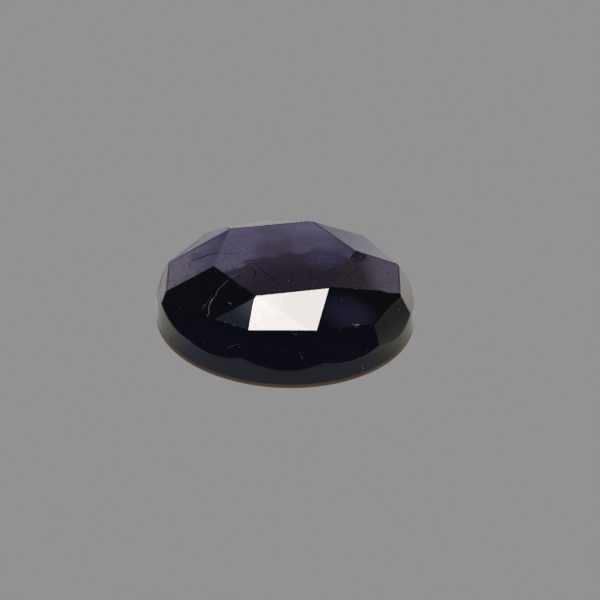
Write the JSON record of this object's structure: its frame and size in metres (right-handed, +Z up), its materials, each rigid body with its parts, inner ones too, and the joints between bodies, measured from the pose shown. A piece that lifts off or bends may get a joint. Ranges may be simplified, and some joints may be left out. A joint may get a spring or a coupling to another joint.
{
  "type": "rose cut oval iolite gemstone",
  "caption": "Loose oval rose cut iolite: flat polished base, upright girdle wall and a low domed crown of flat facets, for setting or display.",
  "frame": {"origin": "centre of the flat base, on the surface that the stone rests on", "axes": "+X along the oval's long axis, +Y along its short axis away from the side that faces the viewer, +Z up from the base through the crown"},
  "size_m": [0.016, 0.012, 0.0046],
  "materials": {
    "polished_iolite": "polished facets, transparent violet-blue stone with fine inclusions and a ground base edge"
  },
  "bodies": {
    "root": {"iolite_stone": "polished_iolite"}
  },
  "joints": []
}
